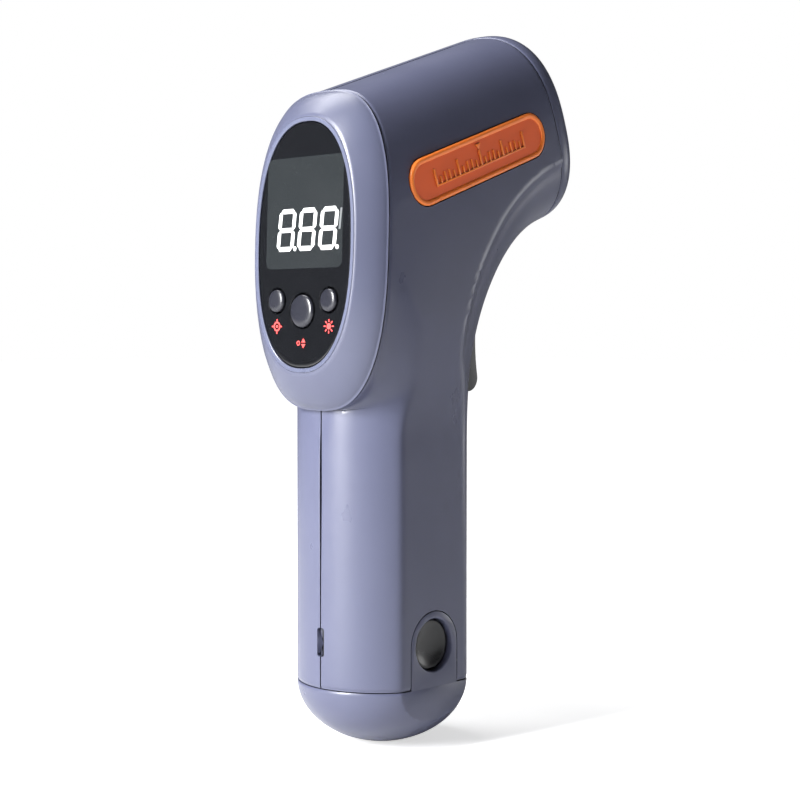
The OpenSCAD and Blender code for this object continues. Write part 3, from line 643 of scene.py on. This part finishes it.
MATS = {
    "case_plastic": plastic("case_plastic", (81, 84, 106), rough=0.32, grain=1500, bump=0.10, mottle=0.04),
    "bezel_plastic": plastic("bezel_plastic", (77, 80, 100), rough=0.32, grain=1500, bump=0.10, mottle=0.04),
    "lip_plastic": plastic("lip_plastic", (84, 88, 108), rough=0.3, grain=1500, bump=0.08, mottle=0.05),
    "window_black": glossy("window_black", (16, 17, 20), rough=0.07, specular=0.55),
    "lcd_glass": glossy("lcd_glass", (33, 36, 38), rough=0.16, bump=0.01),
    "black_plastic": plastic("black_plastic", (26, 27, 31), rough=0.42, bump=0.15),
    "white_diffuser": plastic("white_diffuser", (226, 228, 230), rough=0.35, bump=0.08, mottle=0.03),
    "board_green": board("board_green", (24, 84, 48)),
    "mat_rubber": plastic("mat_rubber", (48, 49, 54), rough=0.7, grain=700, bump=0.25, specular=0.3),
    "key_plastic": plastic("key_plastic", (30, 31, 39), rough=0.26, grain=1600, bump=0.06, mottle=0.06),
    "trigger_plastic": plastic("trigger_plastic", (20, 21, 26), rough=0.38, grain=1300, bump=0.12),
    "spring_steel": metal("spring_steel", (196, 198, 202), rough=0.24),
    "pin_steel": metal("pin_steel", (176, 178, 184), rough=0.2),
    "screw_steel": metal("screw_steel", (84, 86, 92), rough=0.34),
    "lens_germanium": glossy("lens_germanium", (70, 62, 58), rough=0.08, coat=0.6),
    "sensor_can": metal("sensor_can", (206, 206, 204), rough=0.3),
    "brass": metal("brass", (206, 168, 96), rough=0.28),
    "laser_glass": glossy("laser_glass", (58, 12, 16), rough=0.05, coat=0.5),
    "badge_orange": plastic("badge_orange", (255, 132, 52), rough=0.38, grain=1400, bump=0.1, mottle=0.03),
    "badge_panel": plastic("badge_panel", (236, 98, 42), rough=0.46, grain=1100, bump=0.2, mottle=0.04),
    "cell_wrap": plastic("cell_wrap", (44, 72, 118), rough=0.3, grain=500, bump=0.05, coat=0.4),
    "contact_metal": metal("contact_metal", (214, 206, 186), rough=0.26),
    "button_rubber": plastic("button_rubber", (24, 25, 28), rough=0.28, grain=1200, bump=0.1, mottle=0.06),
    "digit_white": plastic("digit_white", (236, 238, 238), rough=0.4, bump=0.03, mottle=0.02),
    "digit_dim": plastic("digit_dim", (92, 95, 97), rough=0.4, bump=0.03, mottle=0.02),
    "icon_red": plastic("icon_red", (236, 74, 72), rough=0.35, bump=0.04, mottle=0.03),
}


def dress(obj, material, body, *nodes, record_slot=None):
    obj.data.materials.clear()
    obj.data.materials.append(MATS[material])
    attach(obj, body)
    if nodes:
        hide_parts(*nodes)
    record_slot or material


# ---------------------------------------------------------------- case

def slot_cutter():
    return prism("cut_slot", round_box(SLOT_W, SLOT_H, SLOT_ROUND), -WALL - 1, 1,
                 lambda p: p + [0, -GRIP_R, SLOT_Z])


def trigger_cutter():
    outline = round_box(TRIGGER_W + 2 * TRIGGER_GAP, TRIGGER_CUT_H, 1.2)
    middle = TRIGGER_LOW - TRIGGER_CUT_LOW + TRIGGER_CUT_H / 2
    return prism("cut_trigger", outline, GRIP_FRONT - 4, GRIP_FRONT + 12, lambda p: p + [0, 0, middle])


def shell(side):
    name = "body_right" if side > 0 else "body_left"
    mirror = side < 0
    outer = half_solid(name, 0, 0, SPLIT_HALF, True, mirror)
    cuts = [half_solid("cut_inside", WALL, 1.2, -1.0, False, mirror)]
    recess = stadium(BADGE_L + 2 * BADGE_GAP, BADGE_H + 2 * BADGE_GAP)
    cuts.append(prism("cut_badge", recess, BADGE_PROUD - BADGE_T, 4, on_side(side)))
    cuts.append(slot_cutter())
    half = TONGUE_W / 2 + 0.22
    cuts.append(prism("cut_tongue", arch(half, CAP_Z - 2 - RELEASE_Z), FLAT_X - WALL - 1, FLAT_X + 2,
                      on_flat(GRIP_MID, RELEASE_Z, side)))
    cuts.append(trigger_cutter())
    if side < 0:
        for y, z in SCREWS:
            r, edge = SCREW_HEAD_R + 0.3, face_x(y, z)
            well = [(r, edge - SCREW_SINK), (r, edge - 0.35), (r + 0.5, edge + 0.35), (r + 0.5, edge + 3)]
            cuts.append(lathe("cut_screw", well, on_flat(y, z, -1), 40))
    return boolean(outer, cuts)


def screw_seats():
    """Floors under the sunk screw heads, so that no gap shows into the case."""
    for i, (y, z) in enumerate(SCREWS):
        r, edge = SCREW_HEAD_R + 0.28, face_x(y, z)
        disc = [(r, edge - SCREW_SINK - 1.2), (r, edge - SCREW_SINK)]
        dress(lathe(f"screw_seat_{i}", disc, on_flat(y, z, -1), 40), "case_plastic", "housing")


def seam_shade_tongue():
    """Black tongue between the case halves, which closes the middle seam to light; its black colour is
    painted shade for the seam.
    """
    # How many coarse rows of side_rows reach the bezel's seam, and the nose
    to_bezel, to_nose = 8, 25
    half = 0.5
    out_back, out_front = side_rows(0.6, 0, False)
    in_back, in_front = side_rows(1.7, 0, False)
    runs = {
        "rear": (out_back[:to_bezel], in_back[:to_bezel], [slot_cutter]),
        "front": (out_front[:to_nose], in_front[:to_nose], [trigger_cutter]),
        "top": (np.linspace(out_back[-1], out_front[-1], 6), np.linspace(in_back[-1], in_front[-1], 6), []),
    }
    for tag, (outer, inner, cutters) in runs.items():
        rings = [[(-half, *o), (half, *o), (half, *i), (-half, *i)] for o, i in zip(outer, inner)]
        strip = rings_object(f"seam_shade_tongue_{tag}", rings)
        boolean(strip, [cutter() for cutter in cutters])
        # Painted shade: the tongue is black so the middle seam reads dark
        dress(strip, "black_plastic", "housing")


def case_group():
    for side, name in ((1, "right_shell"), (-1, "left_shell")):
        dress(shell(side), "case_plastic", "housing", name)
    screw_seats()
    seam_shade_tongue()


# ---------------------------------------------------------------- display end

def blend_ring(f):
    """The bezel's outline at share f of the way from the case seam to the window's lip."""
    a, b = seam_ring(0.0), window_ring(LIP_W)
    return ring3(a + (b - a) * f ** 1.5, FACE_Y * f, on_bezel)


def eased(inset, y):
    """The seam outline drawn in by inset at local y."""
    return ring3(seam_ring(inset), y, on_bezel)


def bezel_group():
    rings = [eased(WALL + 1.5, 1.0), eased(WALL + 0.2, 1.0), eased(WALL, -0.02)]
    for d in (0.0, 0.08, 0.2, 0.34):
        inset = EDGE_DEPTH * (1 - d / EDGE_WIDTH) ** 2
        rings.append(eased(inset, -SEAM_HALF - d))
    for f in np.linspace(0.13, 0.955, 22):
        rings.append(blend_ring(f))
    for inset, y in ((0.0, 0.972), (0.05, 0.984)):
        rings.append(ring3(window_ring(LIP_W - inset), FACE_Y * y, on_bezel))
    for inset, y in ((0.12, FACE_Y + 0.08), (0.16, FACE_Y + 0.5), (0.16, 1.0)):
        rings.append(ring3(window_ring(LIP_W - inset), y, on_bezel))
    bezel = rings_object("bezel", rings, closed_loop=True)
    dress(bezel, "bezel_plastic", "housing", "display_bezel")
    lip_profile = [(LIP_W - 0.17, 0.6), (LIP_W - 0.17, 0.02), (LIP_W - 0.22, -0.12), (LIP_W - 0.4, -0.2),
                   (0.62, -0.2), (0.34, -0.12), (0.2, 0.04), (0.16, 0.3), (0.16, 1.5), (0.16, 1.7)]
    lip = rings_object("bezel_lip", [ring3(window_ring(grow), FACE_Y + 0.05 + max(h, -0.05), on_bezel)
                                     for grow, h in lip_profile], closed_loop=True)
    dress(lip, "lip_plastic", "housing", record_slot="bezel_plastic")


def window_group():
    middle = np.array([0, WINDOW_Z])
    rings = []
    for share in (0.12, 0.3, 0.5, 0.7, 0.86, 0.95):
        rings.append(ring3((window_ring(0) - middle) * share + middle, crown_y(share), on_bezel))
    for grow, drop in ((-0.35, 0.2), (-0.12, 0.25), (-0.02, 0.38), (0.1, 0.6), (0.1, WINDOW_T)):
        rings.append(ring3(window_ring(grow), FACE_Y + drop, on_bezel))
    window = rings_object("window", rings)
    holes = []
    for x, z, r in KEY_SPOTS.values():
        hole = [(0.45, -1), (0.42, 0.1), (0.26, 0.3), (KEY_GAP, 0.42), (KEY_GAP, 3)]
        hole = [(r + grow, FACE_Y + drop) for grow, drop in hole]
        holes.append(lathe("cut_key", hole, at_spot(x, z, on_bezel), 56))
    boolean(window, holes)
    dress(window, "window_black", "housing", "display_window")
    area = dense(round_box(22.2, 22.6, 1.4, 5))
    pane = []
    for share, drop in [(k, 0.0) for k in np.linspace(0.04, 1, 14)] + [(1.0, 0.4)]:
        pts = area * share + [0, 5.5]
        pane.append(ring3(pts, [window_y(x, z) - 0.012 + drop for x, z in pts], on_bezel))
    dress(rings_object("lcd_area", pane), "lcd_glass", "housing")
    digits()
    icons()


def crown_y(share):
    """The window's slightly domed face, at a share of the way out from its middle."""
    return FACE_Y + 0.2 - 0.1 * (1 - share ** 2)


def window_y(x, z):
    power = abs(x / WINDOW_HALF) ** WINDOW_N + abs((z - WINDOW_Z) / WINDOW_UP) ** WINDOW_N
    return crown_y(min(1.0, power ** (1 / WINDOW_N)))


def slab(name, outline, x, z, y, material):
    """A thin printed mark lying on the window's face."""
    obj = prism(name, np.asarray(outline) + [x, z], y - MARK_T, y + MARK_ROOT, on_bezel)
    dress(obj, material, "housing", record_slot="window_black")


SEGMENTS = {
    "a": ((0, 1), (1, 1)), "b": ((1, 0.5), (1, 1)), "c": ((1, 0), (1, 0.5)), "d": ((0, 0), (1, 0)),
    "e": ((0, 0), (0, 0.5)), "f": ((0, 0.5), (0, 1)), "g": ((0, 0.5), (1, 0.5)),
}


def digits():
    """Seven-segment figures of the display, every segment lit as in a display test."""
    wide, high, bar, lean = 4.1, 8.6, 0.92, 0.1
    low = 101.95 - OVAL_Z
    for k, left in enumerate((-7.55, -1.45, 4.65)):
        for seg, (a, b) in SEGMENTS.items():
            pts = np.array([[left + p[0] * wide, p[1] * (high - bar) + bar / 2] for p in (a, b)])
            way = (pts[1] - pts[0]) / np.linalg.norm(pts[1] - pts[0])
            out = np.array([-way[1], way[0]])
            t0, t1 = pts[0] + way * 0.12, pts[1] - way * 0.12
            half = bar / 2
            ring = [t0, t0 + way * half + out * half, t1 - way * half + out * half, t1,
                    t1 - way * half - out * half, t0 + way * half - out * half]
            ring = np.array([[p[0] + lean * p[1], p[1] + low] for p in ring])
            mid = ring.mean(0)
            slab(f"digit_{k}_{seg}", ring, 0, 0, window_y(*mid) - MARK_LIFT, "digit_white")
        if k != 1:
            x = left + wide + 0.95
            y = window_y(x, low) - MARK_LIFT
            slab(f"digit_dot_{k}", circle(0.46, 20), x, low + 0.5, y, "digit_white")
    faint = [(0, 0), (0.5, 0), (0.95, 4.2), (0.45, 4.2)]
    slab("digit_faint", faint, 10.0, low + 4.0, window_y(10, low + 6) - MARK_LIFT, "digit_dim")


def ring_mark(name, r_out, r_in, x, z, y):
    profile = ((r_out, MARK_ROOT), (r_out, -0.03), (r_in, -0.03), (r_in, MARK_ROOT))
    rings = [ring3(circle(r, 40) + [x, z], y + h, on_bezel) for r, h in profile]
    dress(rings_object(name, rings, closed_loop=True), "icon_red", "housing", record_slot="window_black")


def rays(name, count, near, far, half, x, z, y):
    """Short bars set round a point, from radius near to radius far."""
    bar = np.array([(near, -half), (far, -half), (far, half), (near, half)])
    for k in range(count):
        c, s = math.cos(2 * math.pi * k / count), math.sin(2 * math.pi * k / count)
        slab(f"{name}_{k}", bar @ np.array([[c, s], [-s, c]]), x, z, y, "icon_red")


def icons():
    """Red marks under the keys: a laser target, a lamp, and a ring with two arrowheads."""
    target_x, lamp_x, z = -7.4, 7.8, 86.7 - OVAL_Z
    y = window_y(target_x, z) - MARK_LIFT
    ring_mark("icon_target_ring", 1.0, 0.66, target_x, z, y)
    slab("icon_target_dot", circle(0.32, 20), target_x, z, y, "icon_red")
    rays("icon_target_tick", 4, 0.98, 1.5, 0.15, target_x, z, y)
    slab("icon_lamp_disc", circle(0.62, 24), lamp_x, z, y, "icon_red")
    rays("icon_lamp_ray", 8, 0.86, 1.42, 0.13, lamp_x, z, y)
    z = 83.3 - OVAL_Z
    y = window_y(0, z) - MARK_LIFT
    ring_mark("icon_scale_ring", 0.5, 0.27, -0.95, z, y)
    arrow = np.array([(-0.62, 0), (0.62, 0), (0, 0.85)])
    slab("icon_scale_up", arrow, 0.55, z + 0.16, y, "icon_red")
    slab("icon_scale_down", arrow * [1, -1], 0.55, z - 0.16, y, "icon_red")


def keys_group():
    for name, (x, z, r) in KEY_SPOTS.items():
        face = r - 0.1
        dome = [(0.3, -0.452), (0.55, -0.425), (0.75, -0.36), (0.88, -0.25), (0.96, -0.1), (1, 0.12),
                (1, 0.5), (1, 1.55)]
        profile = [(0.001, FACE_Y - 0.46)] + [(face * share, FACE_Y + h) for share, h in dome]
        key = lathe("cap_" + name, profile, at_spot(x, z, on_bezel), 64)
        dress(key, "key_plastic", name, name)


# ---------------------------------------------------------------- nose

def nose_ring_at(inset, y):
    return ring3(nose_outline(inset), y, on_nose)


def nose_group():
    rings = [nose_ring_at(WALL + 1.2, -1.0), nose_ring_at(WALL, -1.0), nose_ring_at(WALL, 0.02)]
    for d in (0.0, 0.08, 0.2, 0.34):
        rings.append(nose_ring_at(EDGE_DEPTH * (1 - d / EDGE_WIDTH) ** 2, SEAM_HALF + d))
    rings.append(nose_ring_at(0, RING_DEPTH - RING_ROUND - 0.3))
    for a in np.linspace(0, 84, 15):
        t = math.radians(a)
        inset = 0.8 * RING_ROUND * (1 - math.cos(t))
        rings.append(nose_ring_at(inset, RING_DEPTH - RING_ROUND + RING_ROUND * math.sin(t)))
    rings.append(nose_ring_at(NOSE_OPEN - 1.35, RING_DEPTH - 0.02))
    for inset, y in ((NOSE_OPEN - 1.0, RING_DEPTH - 0.25), (NOSE_OPEN - 0.8, RING_DEPTH - 0.8),
                     (NOSE_OPEN - 0.35, 3.0), (NOSE_OPEN, PLATE_IN), (NOSE_OPEN, -0.6)):
        rings.append(nose_ring_at(inset, y))
    ring = rings_object("nose", rings, closed_loop=True)
    dress(ring, "case_plastic", "housing", "nose_ring")


# ---------------------------------------------------------------- badge

def badge(side):
    place = on_side(side)
    tag = "right" if side > 0 else "left"
    back = BADGE_PROUD - BADGE_T
    rim = [(0.25, back), (0, back), (0, 0), (0.02, 0.12), (0.12, 0.24), (0.3, BADGE_PROUD - 0.02),
           (0.55, BADGE_PROUD), (0.8, BADGE_PROUD - 0.03), (0.98, 0.22), (1.06, 0.08), (1.12, -0.04),
           (1.2, -0.05), (1.3, back)]
    rings = [ring3(stadium(BADGE_L - 2 * inset, BADGE_H - 2 * inset), y, place) for inset, y in rim]
    rim_obj = rings_object(f"badge_rim_{tag}", rings, closed_loop=True)
    dress(rim_obj, "badge_orange", "housing", f"badge_{tag}")
    panel = prism(f"badge_panel_{tag}", stadium(BADGE_L - 2.2, BADGE_H - 2.2), back + 0.1, -0.05, place)
    dress(panel, "badge_panel", "housing", record_slot="badge_orange")
    scale_marks(tag, place)


def scale_marks(tag, place):
    """Embossed tick scale: a base line with long and short ticks and a pointer."""
    base, low, step, ticks = 15.2, -1.6, 1.5, 21
    marks = [[(-base, -1.9), (base, -1.9), (base, -1.5), (-base, -1.5)]]
    for k in range(ticks):
        x = step * (k - (ticks - 1) / 2)
        tall = 3.4 if k % 5 == 0 else (2.2 if k % 5 in (2, 3) else 1.6)
        half = 0.24 if k % 5 == 0 else 0.16
        marks.append([(x - half, low), (x + half, low), (x + half, low + tall), (x - half, low + tall)])
    marks.append([(-0.9, 3.1), (0, 2.0), (0.9, 3.1)])
    for k, m in enumerate(marks):
        obj = prism(f"badge_mark_{tag}_{k}", np.array(m), -0.1, 0.24, place)
        bevel(obj, 0.05, 2)
        dress(obj, "badge_orange", "housing")


# ---------------------------------------------------------------- trigger

def arc(c, r, start, end, count):
    a = np.radians(np.linspace(start, end, count))
    return [(c[0] + r * math.cos(t), c[1] + r * math.sin(t)) for t in a]


def trigger_group():
    toe = 3
    front = arc((TRIGGER_Y - toe, TRIGGER_LOW + toe), toe, -90, 0, 10)
    sweep = [(TRIGGER_Y - 0.75 * math.sin(math.pi * t), TRIGGER_LOW + toe + 15.5 * t)
             for t in np.linspace(0.08, 1, 14)]
    rear = [(15.6, TRIGGER_LOW + 8), (16.6, TRIGGER_LOW + 0.6)]
    hub = arc((PIN_Y, PIN_Z), 3.5, 60, 200, 22)
    outline = np.array(hub + rear + front + sweep + [(TRIGGER_Y, PIN_Z - 5)])
    half = TRIGGER_W / 2
    obj = rings_object("trigger_lever", [across(outline, x) for x in (half, -half)])
    bore = circle(PIN_R + 0.06, 40) + [PIN_Y, PIN_Z]
    boolean(obj, [rings_object("cut_pin", [across(bore, x) for x in (10, -10)])])
    bevel(obj, 0.9, 5, 40)
    dress(obj, "trigger_plastic", "trigger", "trigger")


# ---------------------------------------------------------------- battery cap

def dome_solid(name, inset, flat, top):
    """The cap's dome between its two flats; the outer one, at no inset, has an eased seam edge."""
    way = np.sign(circle(1, AROUND)[:, 1])
    angles = [0, 0, 0.6, 1.4, 2.6, *np.linspace(4, 60, 20), *np.linspace(62, 88.9, 26)]
    rings = []
    for k, a in enumerate(angles):
        t = math.radians(a)
        low = top if k == 0 else CAP_Z - (CAP_Z - inset) * math.sin(t)
        scale = 1.0
        if inset == 0:
            gap = CAP_Z - SEAM_HALF - low
            scale -= EDGE_DEPTH * min(1, max(0, 1 - gap / EDGE_WIDTH)) ** 2 / GRIP_R
            low = min(low, CAP_Z - SEAM_HALF)
        pts = circle((GRIP_R - inset) * math.cos(t), AROUND) * scale
        rings.append(np.stack([pts[:, 0], GRIP_MID + pts[:, 1] + way * GRIP_MID * math.cos(t),
                               np.full(len(pts), low)], -1))
    side = np.array([(-40, -4), (40, -4), (40, top + 3), (-40, top + 3)])
    block = rings_object("cut_flat", [across(side, x) for x in (flat, -flat)])
    return boolean(rings_object(name, rings), [block], "INTERSECT")


def cap_group():
    cap = dome_solid("cap", 0, FLAT_X, CAP_Z)
    inner = dome_solid("cut_dome", WALL, FLAT_X - WALL, CAP_Z + 1)
    boolean(cap, [inner])
    tongues, holes = [], []
    for side in (1, -1):
        tongues.append(prism("tongue", arch(TONGUE_W / 2, CAP_Z - 4 - RELEASE_Z), FLAT_X - WALL, FLAT_X,
                             on_flat(GRIP_MID, RELEASE_Z, side)))
        r = RELEASE_R + 0.2
        profile = [(r, FLAT_X - WALL - 3), (r, FLAT_X - 0.34), (r + 0.06, FLAT_X - 0.16),
                   (r + 0.22, FLAT_X - 0.03), (r + 0.42, FLAT_X + 0.02), (r + 0.42, FLAT_X + 2)]
        holes.append(lathe("cut_button", profile, on_flat(GRIP_MID, RELEASE_Z, side), 72))
    boolean(cap, tongues, "UNION")
    boolean(cap, holes)
    bevel(cap, 0.12, 2, 50)
    dress(cap, "case_plastic", "battery_cap", "battery_cap")
    plan = ((-13, -9), (13, -9), (13, 10), (-13, 10))
    floor = rings_object("cap_floor", [[(x, y, z) for x, y in plan] for z in (CAP_Z - 2.0, CAP_Z - 1.6)])
    dress(floor, "black_plastic", "battery_cap")
    for side in (1, -1):
        name = "release_button_right" if side > 0 else "release_button_left"
        face, r = FLAT_X - RELEASE_INSET, RELEASE_R
        dish = [(0.3, 0.58), (0.55, 0.46), (0.72, 0.28), (0.83, 0.1), (0.9, 0), (0.95, 0.03), (0.985, 0.14),
                (1, 0.34), (1, 1.0)]
        profile = [(0.001, face - 0.62)] + [(r * share, face - drop) for share, drop in dish]
        profile += [(r + 0.9, face - 1.0), (r + 0.9, face - 1.6), (0.001, face - 1.6)]
        button = lathe("pad_" + name, profile, on_flat(GRIP_MID, RELEASE_Z, side), 72)
        dress(button, "button_rubber", name, name)


# ---------------------------------------------------------------- remaining CAD nodes

CAD_FINISH = {
    "lcd_panel": "lcd_glass", "lcd_frame": "black_plastic", "backlight_plate": "white_diffuser",
    "display_board": "board_green", "keypad_mat": "mat_rubber", "main_board": "board_green",
    "trigger_switch": "black_plastic", "buzzer": "black_plastic", "trigger_pin": "pin_steel",
    "trigger_spring": "spring_steel", "nose_plate": "black_plastic", "lens_tube": "black_plastic",
    "infrared_lens": "lens_germanium", "lens_retainer": "black_plastic", "thermopile_sensor": "sensor_can",
    "sensor_board": "board_green", "laser_module": "brass", "laser_window": "laser_glass",
    "case_screws": "screw_steel", "battery_tray": "black_plastic", "battery_cells": "cell_wrap",
    "cell_contacts": "contact_metal", "cap_contact": "contact_metal", "release_spring_left": "spring_steel",
    "release_spring_right": "spring_steel", "lanyard_bar": "pin_steel",
}


def finish_cad_nodes():
    for name, material in CAD_FINISH.items():
        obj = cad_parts[name]
        obj.data.materials.clear()
        obj.data.materials.append(MATS[material])
        for poly in obj.data.polygons:
            poly.use_smooth = False
        soft = obj.modifiers.new("edges", "BEVEL")
        soft.width, soft.segments, soft.limit_method = 0.12 * MM, 2, "ANGLE"
        soft.angle_limit = math.radians(40)


# ---------------------------------------------------------------- stage

def area_light(name, where, aim, size, power, size_y=None):
    data = bpy.data.lights.new(name, "AREA")
    data.energy, data.size = power, size
    if size_y:
        data.shape, data.size_y = "RECTANGLE", size_y
    obj = bpy.data.objects.new(name, data)
    bpy.context.scene.collection.objects.link(obj)
    obj.location = where
    obj.rotation_euler = (Vector(aim) - Vector(where)).to_track_quat("-Z", "Y").to_euler()


def stage_group():
    mesh = bpy.data.meshes.new("floor")
    mesh.from_pydata([(-4, -4, 0), (4, -4, 0), (4, 4, 0), (-4, 4, 0)], [], [(0, 1, 2, 3)])
    floor = bpy.data.objects.new("floor", mesh)
    bpy.context.scene.collection.objects.link(floor)
    mat, tree, shader = mat_new("floor_white")
    fine = noise(tree, position(tree), 12.0, 2.0)
    tree.links.new(mix(tree, fine, (0.78, 0.78, 0.79, 1), (0.82, 0.82, 0.82, 1)), shader.inputs["Base Color"])
    shader.inputs["Roughness"].default_value = 0.7
    shader.inputs["Emission Color"].default_value = (1, 1, 1, 1)
    reach = node(tree, "ShaderNodeVectorMath", {0: position(tree)}, operation="LENGTH").outputs["Value"]
    glow = span(tree, reach, 0.04, 0.16, FLOOR_GLOW, 1.0)
    seen = node(tree, "ShaderNodeLightPath").outputs["Is Camera Ray"]
    glow = node(tree, "ShaderNodeMath", {0: seen, 1: glow}, operation="MULTIPLY").outputs[0]
    tree.links.new(glow, shader.inputs["Emission Strength"])
    mesh.materials.append(mat)
    world = bpy.data.worlds.new("studio")
    world.use_nodes = True
    tree = world.node_tree
    back = tree.nodes["Background"]
    seen = node(tree, "ShaderNodeLightPath").outputs["Is Camera Ray"]
    tree.links.new(span(tree, seen, 0, 1, FILL, 1.0), back.inputs["Strength"])
    back.inputs["Color"].default_value = (1.0, 1.0, 1.0, 1)
    bpy.context.scene.world = world
    bpy.context.scene.view_settings.view_transform = "Standard"
    mid = (0, 0, 0.08)
    area_light("key", (-0.12, -0.62, 0.34), mid, 0.14, 15.5, size_y=0.5)
    area_light("top", (-0.25, -0.05, 0.6), mid, 0.3, 2.0)
    area_light("side", (0.3, 0.6, 0.05), mid, 0.2, 0.55)
    camera = bpy.data.cameras.new("camera")
    camera.lens, camera.sensor_width, camera.shift_y = 76.5, 36.0, -0.084
    eye = bpy.data.objects.new("camera", camera)
    eye.location = (0.25002, -0.27014, 0.08558)
    eye.rotation_euler = (math.radians(90), 0, math.radians(43.5))
    bpy.context.scene.collection.objects.link(eye)
    bpy.context.scene.camera = eye


case_group()
bezel_group()
window_group()
keys_group()
nose_group()
badge(1)
badge(-1)
trigger_group()
cap_group()
finish_cad_nodes()
stage_group()
